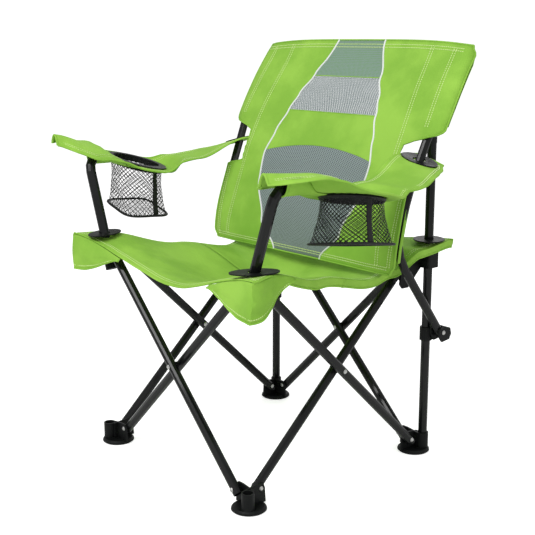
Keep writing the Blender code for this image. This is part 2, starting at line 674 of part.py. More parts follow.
def back_half_width(z):
    """Half the back's width: full above the arm notch, waisted at it and a lower wing below."""
    return stations((
        (BACK_LOW, WING_HALF - 0.012),
        (BACK_LOW + 0.02, WING_HALF),
        (NOTCH_LOW - 0.012, WING_HALF - 0.004),
        (NOTCH_LOW, NOTCH_HALF),
        (NOTCH_HIGH, NOTCH_HALF),
        (NOTCH_HIGH + 0.012, BACK_HALF + 0.004),
        (BACK_HIGH - 0.02, BACK_HALF - 0.002),
        (BACK_HIGH, BACK_HALF - 0.014),
    ), z)


def back():
    levels = [BACK_LOW, BACK_LOW + 0.02, 0.50, 0.56, NOTCH_LOW - 0.012, NOTCH_LOW, 0.666, NOTCH_HIGH,
              NOTCH_HIGH + 0.012, 0.77, 0.83, BACK_HIGH - 0.02, BACK_HIGH]
    rows = len(levels) - 1

    def place(u, v):
        z = levels[round(v * rows)]
        return (2 * u - 1) * back_half_width(z), back_y(z), z

    sheet("back_panel", 8, rows, place, CLOTH)


def arm_point(across, y):
    """The middle of the left arm's cloth, from its raised front tip, down past the cup ring, to the pole."""
    x_middle = stations(((ARM_FRONT, 0.366), (-0.25, 0.360), (RING_CENTRE[1], RING_CENTRE[0]),
                         (0.04, 0.340), (0.20, 0.300)), y)
    z_middle = stations(((-0.31, 0.692), (-0.22, 0.682), (-0.11, 0.640), (0.03, 0.636), (0.165, 0.668),
                         (0.20, 0.672)), y)
    tilt = stations(((-0.30, 0.22), (-0.09, 0.17), (0.03, -0.02), (0.15, -0.25)), y)
    half = stations(((ARM_FRONT, 0.012), (-0.27, 0.052), (-0.235, 0.074), (-0.09, 0.089), (0.04, 0.068),
                     (0.14, 0.060), (0.17, 0.054), (0.20, 0.036)), y)
    x = x_middle + across * half
    z = z_middle + tilt * across * half
    from_ring = Vector((x - RING_CENTRE[0], y - RING_CENTRE[1])).length
    share = stations(((RING_OUTER + 0.012, 0.0), (RING_OUTER + 0.042, 1.0)), from_ring)
    return Vector((x, y, z * share + (ring_height(x, y) - ARM_CLOTH / 2 - RING_SEAT) * (1 - share)))


def ring_height(x, y):
    """The underside of the cup ring's flange, extended as a plane."""
    return RING_CENTRE[2] + RING_TILT_X * (x - RING_CENTRE[0]) + RING_TILT_Y * (y - RING_CENTRE[1])


def pole_at(height):
    """The middle of the left back pole at a height, and its direction there."""
    route = pole_route()
    for low, high in zip(route, route[1:]):
        if high.z >= height:
            return low.lerp(high, (height - low.z) / (high.z - low.z)), (high - low).normalized()
    return route[-1], Vector((0, 0, 1))


def arm(hand, left):
    sign = 1 if left else -1
    side = Vector((sign, 1, 1))

    def place(u, v):
        return arm_point(2 * u - 1, ARM_FRONT + (ARM_REAR - ARM_FRONT) * v) * side

    made = sheet(f"arm_{hand}", 10, 22, place, ARM_CLOTH)
    if not left:
        made.data.flip_normals()
    centre = Vector(RING_CENTRE) * side
    normal = Vector((-sign * RING_TILT_X, -RING_TILT_Y, 1)).normalized()
    tilt = Matrix.Translation(centre) @ turned_to(normal)
    hole = cutter(f"arm_{hand}_ring_hole", rod, centre - normal * 0.03, centre + normal * 0.03,
                  RING_INNER + 0.006, 24)
    boolean(made, hole, "DIFFERENCE")
    on_pole, along = pole_at(ARM_HOLE_Z)
    on_pole, along = on_pole * side, (along * side).normalized()
    slot = cutter(f"arm_{hand}_pole_hole", rod, on_pole - along * 0.03, on_pole + along * 0.03,
                  POLE_RADIUS + 0.006, 12)
    boolean(made, slot, "DIFFERENCE")

    flange = 0.0026
    collar = 0.012
    profile = [(RING_INNER, flange), (RING_INNER, -collar), (RING_INNER + 0.0025, -collar),
               (RING_INNER + 0.0025, 0),
               (RING_OUTER, 0), (RING_OUTER - 0.001, flange * 0.7), (RING_OUTER - 0.004, flange)]
    ring = turned(profile, 28)
    bmesh.ops.transform(ring, verts=ring.verts, matrix=tilt)
    add(f"cup_ring_{hand}", ring, "plastic", centre)

    floor = RING_CENTRE[2] - POUCH_DEPTH
    wall = [(0, floor), (POUCH_RADIUS, floor), (POUCH_RADIUS, 0), (POUCH_RADIUS - POUCH_WALL, 0),
            (POUCH_RADIUS - POUCH_WALL, floor + POUCH_WALL), (0, floor + POUCH_WALL)]
    pouch = turned(wall, 20)
    bmesh.ops.translate(pouch, verts=pouch.verts, vec=(RING_CENTRE[0], RING_CENTRE[1], 0))
    for vert in pouch.verts:
        if vert.co.z < floor / 2:
            vert.co.z = ring_height(vert.co.x, vert.co.y) - ARM_CLOTH - RING_SEAT - 4 * GAP
    add(f"cup_pouch_{hand}", mirrored(pouch, left), "mesh", centre)
    arm_plate(hand, sign, on_pole)


def arm_plate(hand, sign, on_pole):
    """The oval plate on the arm's rear end, shaped to the cloth, with the pole through it."""
    side = Vector((sign, 1, 1))
    sides = 16
    bm = bmesh.new()
    rings = []
    lift = (ARM_CLOTH / 2 + PLATE_THICKNESS / 2 + 2 * GAP) * 1.06  # the arm slopes there
    reach_x, reach_y = ARM_PLATE
    hole = POLE_RADIUS + 0.0045
    for share in (0, 0.5, 1):
        ring = []
        for index in range(sides):
            angle = 2 * math.pi * index / sides
            dx = (hole + (reach_x - hole) * share) * math.cos(angle)
            dy = (hole + (reach_y - hole) * share) * math.sin(angle)
            x, y = on_pole.x * sign + dx, on_pole.y + dy
            ring.append(bm.verts.new(arm_surface(x, y) + Vector((0, 0, lift))))
        rings.append(ring)
    for inner, outer in zip(rings, rings[1:]):
        for index in range(sides):
            after = (index + 1) % sides
            bm.faces.new((inner[index], outer[index], outer[after], inner[after]))
    bmesh.ops.scale(bm, verts=bm.verts, vec=side)
    made = add(f"arm_plate_{hand}", bm, "plastic", on_pole)
    solid = made.modifiers.new("thickness", "SOLIDIFY")
    solid.thickness = PLATE_THICKNESS
    solid.offset = 0


def arm_surface(x, y):
    """The left arm's cloth over a place near its rear end."""
    middle = arm_point(0, y)
    edge = arm_point(1, y)
    return arm_point(max(min((x - middle.x) / max(edge.x - middle.x, 1e-6), 1.4), -1.4), y)


clear_scene()
for turn, side_name in enumerate(SIDES):
    cross_tube(side_name, turn, True)
    cross_tube(side_name, turn, False)
    cross_bolt(side_name, turn)
for turn, corner_name in enumerate(CORNERS):
    foot(corner_name, turn)
rear_slider("left", 0)
rear_slider("right", 1)
front_hub("left", True)
front_hub("right", False)
for hand_name, is_left in (("left", True), ("right", False)):
    posts_and_poles(hand_name, is_left)
    pole_clamp(hand_name, is_left)
    arm(hand_name, is_left)
    corner_flap(hand_name, 1 if is_left else -1)
seat()
back()
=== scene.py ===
import json
import math

import bmesh
import bpy
from mathutils import Matrix, Vector, noise


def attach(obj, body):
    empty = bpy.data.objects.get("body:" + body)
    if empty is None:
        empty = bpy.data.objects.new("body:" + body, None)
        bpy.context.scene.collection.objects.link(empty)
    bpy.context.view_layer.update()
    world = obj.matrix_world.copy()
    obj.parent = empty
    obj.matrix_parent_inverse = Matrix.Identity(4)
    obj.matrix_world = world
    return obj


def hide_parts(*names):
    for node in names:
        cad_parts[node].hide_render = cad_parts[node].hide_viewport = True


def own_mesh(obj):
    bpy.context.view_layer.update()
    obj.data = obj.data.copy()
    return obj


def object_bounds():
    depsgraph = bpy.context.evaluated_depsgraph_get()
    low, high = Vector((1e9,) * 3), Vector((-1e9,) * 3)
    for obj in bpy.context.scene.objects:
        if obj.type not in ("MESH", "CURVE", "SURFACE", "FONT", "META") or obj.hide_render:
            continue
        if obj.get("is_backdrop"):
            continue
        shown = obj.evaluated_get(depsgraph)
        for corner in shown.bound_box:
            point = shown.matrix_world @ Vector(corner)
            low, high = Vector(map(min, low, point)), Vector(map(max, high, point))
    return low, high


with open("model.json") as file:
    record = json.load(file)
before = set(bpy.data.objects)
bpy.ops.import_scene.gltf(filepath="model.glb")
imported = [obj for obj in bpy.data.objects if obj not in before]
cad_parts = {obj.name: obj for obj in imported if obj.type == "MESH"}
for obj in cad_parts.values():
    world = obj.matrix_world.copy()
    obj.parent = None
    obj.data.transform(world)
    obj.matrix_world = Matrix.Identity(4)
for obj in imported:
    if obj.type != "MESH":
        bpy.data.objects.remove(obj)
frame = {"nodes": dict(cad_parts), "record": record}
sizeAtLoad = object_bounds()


# Camera, floor and light

view = {"place": (1.7491, -1.4633, 0.9196), "turn": 49.888, "lift": 12.368, "lens": 70.45}


def makeCamera():
    turn, lift = math.radians(view["turn"]), math.radians(view["lift"])
    back = Vector((math.sin(turn) * math.cos(lift), -math.cos(turn) * math.cos(lift), math.sin(lift)))
    side = Vector((math.cos(turn), math.sin(turn), 0))
    data = bpy.data.cameras.new("camera")
    data.lens = view["lens"]
    data.sensor_width = 36
    made = bpy.data.objects.new("camera", data)
    turned = Matrix((side, back.cross(side), back)).transposed().to_4x4()
    made.matrix_world = Matrix.Translation(view["place"]) @ turned
    bpy.context.scene.collection.objects.link(made)
    bpy.context.scene.camera = made


def softLight(name, place, aim, size, power, colour=(1, 1, 1)):
    data = bpy.data.lights.new(name, "AREA")
    data.shape = "RECTANGLE"
    data.size, data.size_y = size
    data.energy = power
    data.color = colour
    made = bpy.data.objects.new(name, data)
    made.matrix_world = Matrix.Translation(place) @ (Vector(place) - Vector(aim)).to_track_quat("Z", "Y").to_matrix().to_4x4()
    bpy.context.scene.collection.objects.link(made)


studio = {"sky": 0.60, "backdrop": 1.06, "key": 58, "fill": 12, "rear": 16}


def makeStudio():
    world = bpy.data.worlds.new("studio")
    world.use_nodes = True
    root = Wire(world.node_tree)
    straight = root.node("LightPath")
    sky = world.node_tree.nodes["Background"].inputs
    sky["Color"].default_value = (1, 1, 1, 1)
    root.feed(sky["Strength"], straight * (studio["backdrop"] - studio["sky"]) + studio["sky"])
    bpy.context.scene.world = world
    bpy.context.scene.view_settings.view_transform = "Standard"
    softLight("key", (0.6, -2.2, 2.6), (0, 0, 0.5), (1.6, 1.2), studio["key"])
    softLight("fill", (2.6, 0.4, 1.6), (0, 0, 0.5), (1.0, 1.8), studio["fill"])
    softLight("rear", (-1.4, 2.2, 2.0), (0, 0, 0.5), (1.6, 1.2), studio["rear"])
    bm = bmesh.new()
    bmesh.ops.create_circle(bm, cap_ends=True, segments=96, radius=9)
    mesh = bpy.data.meshes.new("floor")
    bm.to_mesh(mesh)
    bm.free()
    floor = bpy.data.objects.new("floor", mesh)
    bpy.context.scene.collection.objects.link(floor)
    mesh.materials.append(floorPaint())
    floor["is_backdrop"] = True
    print("camera and studio ready")


# Materials


class Wire:
    def __init__(self, tree, socket=None):
        self.tree = tree
        self.socket = socket

    def node(self, kind, feeds=None, out=0, **settings):
        made = self.tree.nodes.new("ShaderNode" + kind)
        for key, value in settings.items():
            setattr(made, key, value)
        for key, value in (feeds or {}).items():
            self.feed(made.inputs[key], value)
        return Wire(self.tree, made.outputs[out])

    def feed(self, place, value):
        if isinstance(value, Wire):
            self.tree.links.new(value.socket, place)
        else:
            place.default_value = value

    def sum(self, operation, *others):
        return self.node("Math", dict(enumerate((self, *others))), operation=operation)

    def __add__(self, other):
        return self.sum("ADD", other)

    def __sub__(self, other):
        return self.sum("SUBTRACT", other)

    def __mul__(self, other):
        return self.sum("MULTIPLY", other)

    def __rsub__(self, other):
        return self.sum("MULTIPLY", -1.0).sum("ADD", other)

    __radd__ = __add__
    __rmul__ = __mul__

    def sine(self):
        return self.sum("SINE")

    def size(self):
        return self.sum("ABSOLUTE")

    def least(self, other):
        return self.sum("MINIMUM", other)

    def ramp(self, low, high, first=0.0, last=1.0):
        return self.node("MapRange", {"Value": self, "From Min": low, "From Max": high, "To Min": first,
                                      "To Max": last}, interpolation_type="SMOOTHSTEP")

    def mix(self, first, second):
        feeds = {0: self, 6: first if isinstance(first, Wire) else (*first, 1),
                 7: second if isinstance(second, Wire) else (*second, 1)}
        return self.node("Mix", feeds, out=2, data_type="RGBA")

    def bump(self, distance, strength=1.0, under=None):
        feeds = {"Height": self, "Distance": distance, "Strength": strength}
        if under:
            feeds["Normal"] = under
        return self.node("Bump", feeds)


def startPaint(name, **fixed):
    made = bpy.data.materials.new(name)
    made.use_nodes = True
    shader = made.node_tree.nodes["Principled BSDF"]
    for key, value in fixed.items():
        shader.inputs[key.replace("_", " ")].default_value = value
    return made, Wire(made.node_tree), shader.inputs


def speckle(root, place, scale, detail=3.0, rough=0.55):
    return root.node("TexNoise", {"Vector": place, "Scale": scale, "Detail": detail, "Roughness": rough})


def floorPaint():
    made, root, ports = startPaint("floorPaper", Roughness=0.9, Specular_IOR_Level=0.2, Emission_Strength=0.60)
    place = root.node("TexCoord", out=3)
    grain = speckle(root, place, 3.0)
    root.feed(ports["Base Color"], grain.mix((0.86, 0.86, 0.86), (0.89, 0.89, 0.89)))
    root.feed(ports["Emission Color"], root.node("LightPath"))
    return made


def clothPaint(name, pale, deep, thread=0.0009, crease=0.0022, sheen=0.10):
    made, root, ports = startPaint(name, Roughness=0.82, Sheen_Weight=sheen, Sheen_Roughness=0.45,
                                   Sheen_Tint=(*pale, 1), Specular_IOR_Level=0.25)
    run = root.node("UVMap", uv_map="cloth")
    across = root.node("SeparateXYZ", {0: run}, out=0)
    along = root.node("SeparateXYZ", {0: run}, out=1)
    place = root.node("TexCoord", out=3)
    step = math.pi / thread
    weave = (across * step).sine() * (along * step).sine()
    slub = speckle(root, root.node("Mapping", {"Vector": run, "Scale": (1, 9, 1)}), 260.0, 2.0)
    clouds = speckle(root, place, 9.0, 4.0)
    folds = speckle(root, place, 26.0, 3.0, 0.5)
    tone = (clouds.ramp(0.3, 0.7) * 0.6 + slub * 0.3 + weave * 0.08).ramp(0.0, 1.0)
    root.feed(ports["Base Color"], tone.mix(deep, pale))
    root.feed(ports["Roughness"], slub * 0.16 + 0.72)
    wide = folds.bump(crease, 0.8)
    root.feed(ports["Normal"], (weave * 0.5 + slub * 0.4).bump(0.00022, 0.7, wide))
    return made


def netPaint(name, pale, deep, cell, share, back=None):
    # cell is a hole's pitch and share is how much of it the threads fill; back is the colour behind, or None for holes
    made, root, ports = startPaint(name, Roughness=0.6, Sheen_Weight=0.03, Specular_IOR_Level=0.25)
    run = root.node("UVMap", uv_map="cloth")
    across = root.node("SeparateXYZ", {0: run}, out=0) * (math.pi / cell)
    along = root.node("SeparateXYZ", {0: run}, out=1) * (math.pi / cell)
    first = (across + along).sine().size()
    second = (across - along).sine().size()
    near = first.least(second)
    edge = math.sin(share * math.pi / 2)
    thread = 1 - near.ramp(edge - 0.06, edge + 0.06)
    twist = speckle(root, run, 900.0, 2.0)
    strand = (twist * 0.6 + (1 - near) * 0.4).mix(deep, pale)
    if back:
        root.feed(ports["Base Color"], thread.mix(back, strand))
    else:
        root.feed(ports["Base Color"], strand)
        root.feed(ports["Alpha"], thread)
    root.feed(ports["Roughness"], twist * 0.2 + 0.5)
    root.feed(ports["Normal"], (thread * (1 - near) + twist * 0.2).bump(0.0005, 0.8))
    return made


def threadPaint(name, colour):
    made, root, ports = startPaint(name, Roughness=0.5, Sheen_Weight=0.3)
    place = root.node("TexCoord", out=3)
    twist = speckle(root, place, 1400.0, 1.0)
    deep = tuple(part * 0.72 for part in colour)
    root.feed(ports["Base Color"], twist.mix(deep, colour))
    root.feed(ports["Normal"], twist.bump(0.0002, 0.6))
    return made


def tapePaint():
    made, root, ports = startPaint("blackTape", Roughness=0.7, Sheen_Weight=0.05, Specular_IOR_Level=0.25)
    run = root.node("UVMap", uv_map="cloth")
    along = root.node("SeparateXYZ", {0: run}, out=1)
    rib = (along * (math.pi / 0.0011)).sine().size()
    dust = speckle(root, root.node("TexCoord", out=3), 90.0)
    root.feed(ports["Base Color"], (rib * 0.5 + dust * 0.4).mix((0.003, 0.003, 0.0035), (0.014, 0.014, 0.015)))
    root.feed(ports["Roughness"], rib * 0.2 + 0.55)
    root.feed(ports["Normal"], rib.bump(0.0003, 0.7))
    return made


def tubePaint():
    made, root, ports = startPaint("blackTube", Coat_Roughness=0.08, Specular_IOR_Level=0.08, Coat_IOR=1.45)
    place = root.node("TexCoord", out=3)
    peel = speckle(root, place, 900.0, 2.0)
    haze = speckle(root, place, 22.0, 4.0)
    scuff = speckle(root, root.node("Mapping", {"Vector": place, "Scale": (1, 1, 0.12)}), 420.0, 2.0).ramp(0.66, 0.74)
    root.feed(ports["Base Color"], (haze * 0.6 + scuff * 0.5).mix((0.002, 0.0025, 0.0025), (0.009, 0.010, 0.010)))
    root.feed(ports["Roughness"], haze * 0.14 + scuff * 0.12 + 0.30)
    root.feed(ports["Coat Weight"], 0.46 - scuff * 0.25)
    root.feed(ports["Normal"], peel.bump(0.00008, 0.5))
    return made


def plasticPaint():
    made, root, ports = startPaint("blackPlastic", Specular_IOR_Level=0.14)
    place = root.node("TexCoord", out=3)
    grain = root.node("TexVoronoi", {"Vector": place, "Scale": 1500.0})
    haze = speckle(root, place, 60.0, 4.0)
    root.feed(ports["Base Color"], haze.mix((0.002, 0.0025, 0.0025), (0.009, 0.010, 0.010)))
    root.feed(ports["Roughness"], haze * 0.2 + 0.36)
    root.feed(ports["Normal"], grain.bump(0.00012, 0.5, haze.bump(0.0004, 0.2)))
    return made


def steelPaint():
    made, root, ports = startPaint("platedSteel", Metallic=1.0)
    place = root.node("TexCoord", out=3)
    brushed = speckle(root, root.node("Mapping", {"Vector": place, "Scale": (1, 1, 14)}), 500.0, 3.0)
    spots = speckle(root, place, 300.0, 3.0)
    root.feed(ports["Base Color"], (brushed * 0.5 + spots * 0.5).mix((0.35, 0.35, 0.34), (0.72, 0.72, 0.70)))
    root.feed(ports["Roughness"], brushed * 0.2 + 0.2)
    root.feed(ports["Normal"], brushed.bump(0.00006, 0.5))
    return made


limePale = (0.320, 0.580, 0.075)
limeDeep = (0.215, 0.440, 0.045)
paints = {
    "lime": clothPaint("limeCloth", limePale, limeDeep),
    "pouchNet": netPaint("pouchNet", (0.012, 0.012, 0.013), (0.003, 0.003, 0.004), 0.0105, 0.16),
    "openMesh": netPaint("openMesh", (0.30, 0.36, 0.36), (0.16, 0.20, 0.21), 0.0066, 0.27),
    "closeMesh": netPaint("closeMesh", (0.32, 0.38, 0.38), (0.17, 0.21, 0.21), 0.0060, 0.44, (0.045, 0.065, 0.065)),
    "topMesh": netPaint("topMesh", (0.28, 0.36, 0.34), (0.15, 0.22, 0.20), 0.0060, 0.46, (0.10, 0.28, 0.05)),
    "piping": threadPaint("whitePiping", (0.86, 0.87, 0.88)),
    "stitch": threadPaint("paleStitch", (0.66, 0.86, 0.30)),
    "tape": tapePaint(),
    "tube": tubePaint(),
    "plastic": plasticPaint(),
    "steel": steelPaint(),
}


# Shared shaping tools


def through(table, at):
    # a smooth value through (place, value) pairs
    if at <= table[0][0]:
        return table[0][1]
    for (low, first), (high, second) in zip(table, table[1:]):
        if at <= high:
            share = (at - low) / (high - low)
            return first + (second - first) * share * share * (3 - 2 * share)
    return table[-1][1]


def ripple(x, y, z, size):
    return noise.noise(Vector((x * size, y * size, z * size)))


def addPiece(name, bm, paint, angle=50):
    mesh = bpy.data.meshes.new(name)
    bm.to_mesh(mesh)
    bm.free()
    mesh.shade_smooth()
    mesh.set_sharp_from_angle(angle=math.radians(angle))
    for one in paint if isinstance(paint, (list, tuple)) else [paint]:
        mesh.materials.append(paints[one])
    made = bpy.data.objects.new(name, mesh)
    bpy.context.scene.collection.objects.link(made)
    return made


def thicken(piece, thickness, offset=0.0):
    wall = piece.modifiers.new("clothThickness", "SOLIDIFY")
    wall.thickness = thickness
    wall.offset = offset
    return piece


def clothGrid(columns, rows, place, flat, pick=None):
    # place(u, v) gives the cloth's middle; its flat run goes into the cloth UV map in metres
    bm = bmesh.new()
    bmesh.ops.create_grid(bm, x_segments=columns, y_segments=rows, size=0.5)
    layer = bm.loops.layers.uv.new("cloth")
    spots = {}
    for face in bm.faces:
        centre = face.calc_center_median()
        if pick:
            face.material_index = pick(centre.x + 0.5, centre.y + 0.5)
        for loop in face.loops:
            spots[loop] = (loop.vert.co.x + 0.5, loop.vert.co.y + 0.5)
    for loop, (u, v) in spots.items():
        loop[layer].uv = ((u - 0.5) * flat[0], v * flat[1])
    for vert in bm.verts:
        vert.co = place(vert.co.x + 0.5, vert.co.y + 0.5)
    return bm


def clothPiece(name, columns, rows, place, flat, paint, thickness, pick=None, flip=False):
    bm = clothGrid(columns, rows, place, flat, pick)
    if flip:
        bmesh.ops.reverse_faces(bm, faces=bm.faces)
    return thicken(addPiece(name, bm, paint, 70), thickness)


def runAlong(bm, points, radius, sides=8, flatten=1.0):
    # a capped round bar swept through points
    points = [Vector(point) for point in points]
    tangents = []
    for index in range(len(points)):
        after = points[min(index + 1, len(points) - 1)]
        before = points[max(index - 1, 0)]
        tangents.append((after - before).normalized())
    turn = tangents[0].to_track_quat("Z", "Y").to_matrix().to_4x4()
    place = Matrix.Translation(points[0]) @ turn
    first = bmesh.ops.create_circle(bm, cap_ends=True, segments=sides, radius=radius,
                                    matrix=place @ Matrix.Diagonal((1, flatten, 1, 1)))["verts"]
    end = list({face for vert in first for face in vert.link_faces})
    for index in range(1, len(points)):
        turn = tangents[index - 1].rotation_difference(tangents[index]).to_matrix().to_4x4() @ place.to_3x3().to_4x4()
        now = Matrix.Translation(points[index]) @ turn
        shape = bmesh.ops.extrude_face_region(bm, geom=end)["geom"]
        if index > 1:
            bmesh.ops.delete(bm, geom=end, context="FACES_ONLY")
        verts = [part for part in shape if isinstance(part, bmesh.types.BMVert)]
        end = [part for part in shape if isinstance(part, bmesh.types.BMFace)]
        bmesh.ops.transform(bm, verts=verts, matrix=now @ place.inverted())
        place = now


def barPiece(name, routes, radius, paint, sides=8, flatten=1.0):
    bm = bmesh.new()
    for route in routes:
        runAlong(bm, route, radius, sides, flatten)
    bmesh.ops.recalc_face_normals(bm, faces=bm.faces)
    return addPiece(name, bm, paint)


def evenly(points, step):
    # places, directions along a polyline, one each step
    points = [Vector(point) for point in points]
    spent, due = 0.0, 0.0
    for low, high in zip(points, points[1:]):
        run = (high - low).length
        while run > 1e-9 and due <= spent + run:
            share = (due - spent) / run
            yield low.lerp(high, share), (high - low).normalized()
            due += step
        spent += run


sewing = {"length": 0.0042, "gap": 0.0010, "width": 0.0021, "height": 0.0010}


def stitchPiece(name, routes, up, paint="stitch"):
    # up is the cloth's outward direction, or a function of the place
    bm = bmesh.new()
    for route in routes:
        for place, run in evenly(route, sewing["length"] + sewing["gap"]):
            out = up(place) if callable(up) else Vector(up)
            side = run.cross(out).normalized()
            out = side.cross(run).normalized()
            turn = Matrix((run, side, out)).transposed().to_4x4()
            size = Matrix.Diagonal((sewing["length"], sewing["width"], sewing["height"], 1))
            made = bmesh.ops.create_cube(bm, size=1, matrix=Matrix.Translation(place) @ turn @ size)["verts"]
            for vert in made:
                if abs((vert.co - place).dot(run)) > sewing["length"] * 0.49:
                    vert.co -= out * sewing["height"] * 0.5 - (place - vert.co) * 0.2
    bmesh.ops.recalc_face_normals(bm, faces=bm.faces)
    return addPiece(name, bm, paint)


hands = (("left", 1), ("right", -1))


# Back: one panel with a mesh window, a hem, piping, stitch lines and a sleeve round each pole

backCloth = {
    "low": 0.438, "high": 0.903, "thickness": 0.0022, "hem": 0.0040,
    "half": ((0.438, 0.292), (0.458, 0.304), (0.616, 0.300), (0.630, 0.246), (0.697, 0.246), (0.734, 0.338),
             (0.883, 0.333), (0.903, 0.322)),
    "window": ((0.438, 0.078), (0.502, 0.134), (0.590, 0.168), (0.650, 0.174), (0.700, 0.160), (0.753, 0.144),
               (0.790, 0.131), (0.833, 0.108), (0.903, 0.075)),
    "archMiddle": 0.680, "archDrop": 0.020, "bandTop": 0.753, "topZone": 0.833, "piping": 0.0021,
}


def backY(z):
    share = (z - 0.438) / 0.465
    return 0.095 + 0.045 * share + 0.153 * share * share


def backLevels():
    spec = backCloth
    knots = [spec["low"], 0.458, 0.502, 0.560, 0.616, 0.630, 0.660, 0.697, 0.734, spec["bandTop"], spec["topZone"],
             0.883, spec["high"]]
    steps = [3, 6, 8, 8, 3, 5, 6, 8, 4, 10, 7, 3]
    levels = [knots[0]]
    for low, high, count in zip(knots, knots[1:], steps):
        levels += [low + (high - low) * part / count for part in range(1, count + 1)]
    return levels


def backPlace(u, v, levels):
    z = levels[round(v * (len(levels) - 1))]
    half, window = through(backCloth["half"], z), through(backCloth["window"], z)
    side = abs(u - 0.5) * 44
    x = window * side / 10 if side <= 10 else window + (half - window) * (side - 10) / 12
    x = math.copysign(x, u - 0.5)
    if 0.62 < z < 0.73 and side > 21.5:
        x += math.copysign(0.004 * math.sin(z * 340), x)  # the bound notch is scalloped
    arch = max(0.0, 1 - abs(z - 0.660) / 0.080)
    z += (0.020 - backCloth["archDrop"] * (x / 0.17) ** 2) * arch if side <= 10 else 0.0
    sag = 0.006 * math.cos(min(abs(x) / 0.29, 1) * math.pi / 2) * through(((0.44, 0.2), (0.7, 1.0)), z)
    wrinkle = ripple(x, 0, z, 7) * 0.004 * min(side / 10, 1)
    wrinkle += ripple(x, 3, z, 16) * 0.0022 * through(((0.44, 1.0), (0.56, 0.3), (0.66, 1.0), (0.8, 0.2)), z)
    curl = 0.016 * max(abs(x) - 0.312, 0) / 0.024
    crown = 0.012 * through(((0.860, 0.0), (0.903, 1.0)), z) * max(1 - (abs(x) / 0.33) ** 4, 0)
    return Vector((x, backY(z) + sag + wrinkle + curl, z + crown))


def backZone(u, v, levels):
    # lime cloth outside the window and in its band, and three kinds of mesh inside it
    if abs(u - 0.5) * 44 > 10:
        return 0
    z = levels[min(int(v * (len(levels) - 1)), len(levels) - 1)]
    if z >= backCloth["topZone"] - 1e-6:
        return 3
    if z >= backCloth["bandTop"] - 1e-6:
        return 2
    return 0 if z >= 0.660 - 1e-6 else 1


def backPiece():
    levels = backLevels()
    rows = len(levels) - 1
    made = clothPiece("backCloth", 44, rows, lambda u, v: backPlace(u, v, levels), (0.66, 0.50),
                      ("lime", "closeMesh", "openMesh", "topMesh"), backCloth["thickness"],
                      lambda u, v: backZone(u, v, levels))
    edges = {"left": [], "right": []}
    for row in range(rows + 1):
        for hand, u in (("right", 0.0), ("left", 1.0)):
            edges[hand].append(backPlace(u, row / rows, levels))
    top = [backPlace(part / 44, 1.0, levels) for part in range(45)]
    bottom = [backPlace(part / 44, 0.0, levels) for part in range(45)]
    hem = barPiece("backHem", [edges["left"], edges["right"], top, bottom], backCloth["hem"] * 0.62, "lime", 8, 0.8)
    piping = []
    for u in (12 / 44, 32 / 44):
        piping.append([backPlace(u, row / rows, levels) - Vector((0, 0.0016, -0.0005)) for row in range(rows + 1)])
    cord = barPiece("backPiping", piping, backCloth["piping"], "piping", 8)
    seams = []
    for level in (backCloth["topZone"], backCloth["bandTop"], 0.660):
        v = min(range(rows + 1), key=lambda row: abs(levels[row] - level)) / rows
        seams.append([backPlace(part / 44, v, levels) - Vector((0, 0.0012, 0)) for part in range(12, 33)])
    band = barPiece("backSeams", seams, 0.0011, "lime", 6)
    stitches = []
    for sign in (1, -1):
        for low, high, table in (
            (0.455, 0.895, ((0.438, 0.250), (0.63, 0.236), (0.70, 0.234), (0.903, 0.222))),
            (0.742, 0.895, ((0.70, 0.296), (0.903, 0.284))),
            (0.455, 0.614, ((0.438, 0.284), (0.62, 0.286))),
        ):
            for shift in (0.0, 0.007):
                line = []
                for part in range(41):
                    z = low + (high - low) * part / 40
                    line.append(Vector((sign * (through(table, z) + shift), 0, z)))
                stitches.append([backOn(point, levels, 0.0024) for point in line])
    for drop in (0.008, 0.013):
        stitches.append([backOn(Vector((-0.31 + 0.62 * part / 60, 0, 0.903 - drop)), levels, 0.0024)
                         for part in range(61)])
        stitches.append([backOn(Vector((-0.285 + 0.57 * part / 60, 0, 0.440 + drop)), levels, 0.0024)
                         for part in range(61)])
    sewn = stitchPiece("backStitches", stitches, (0, -0.9, 0.42))
    pieces = [made, hem, cord, band, sewn]
    for hand, sign in hands:
        for label, low, high in (("upper", 0.740, 0.892), ("lower", 0.462, 0.612)):
            pieces.append(backSleeve(f"backSleeve_{label}_{hand}", sign, low, high, levels))
    for piece in pieces:
        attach(piece, "pole_left")
        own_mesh(piece)
    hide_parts("back_panel")
    for piece in pieces[5:]:
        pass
    print("back made")


def backOn(point, levels, out):
    # the panel's front face over a place in its plane
    z, x = min(max(point.z, levels[0]), levels[-1]), abs(point.x)
    row = max(index for index in range(len(levels) - 1) if levels[index] <= z)
    ends = []
    for index in (row, row + 1):
        half, window = through(backCloth["half"], levels[index]), through(backCloth["window"], levels[index])
        side = x / window * 10 if x <= window else 10 + (x - window) / (half - window) * 12
        u = 0.5 + math.copysign(min(side, 22) / 44, point.x)
        ends.append(backPlace(u, index / (len(levels) - 1), levels))
    on = ends[0].lerp(ends[1], (z - levels[row]) / (levels[row + 1] - levels[row]))
    return Vector((point.x, on.y - out, on.z))


def poleX(z):
    return through(((0.44, 0.287), (0.53, 0.289), (0.893, 0.311)), z)


def backSleeve(name, sign, low, high, levels):
    # the cloth turned back round the pole and sewn down on its inner side
    inner = 0.236 if low > 0.6 else 0.246

    def place(u, v):
        z = low + (high - low) * v
        outer = through(backCloth["half"], z) - through(((0.86, 0.001), (0.892, 0.008)), z)
        x = inner + (outer - inner) * u
        on = backOn(Vector((x, 0, z)), levels, 0.0)
        reach = (x - poleX(z)) / (0.060 if x < poleX(z) else outer - poleX(z) + 0.001)
        bulge = 0.0275 * max(1 - reach * reach, 0) ** 0.6
        return Vector((sign * x, on.y + 0.0020 + bulge, on.z + 0.001 * ripple(x, 5, z, 30)))

    return clothPiece(name, 18, 16, place, (0.11, high - low), "lime", 0.0012, flip=sign > 0)


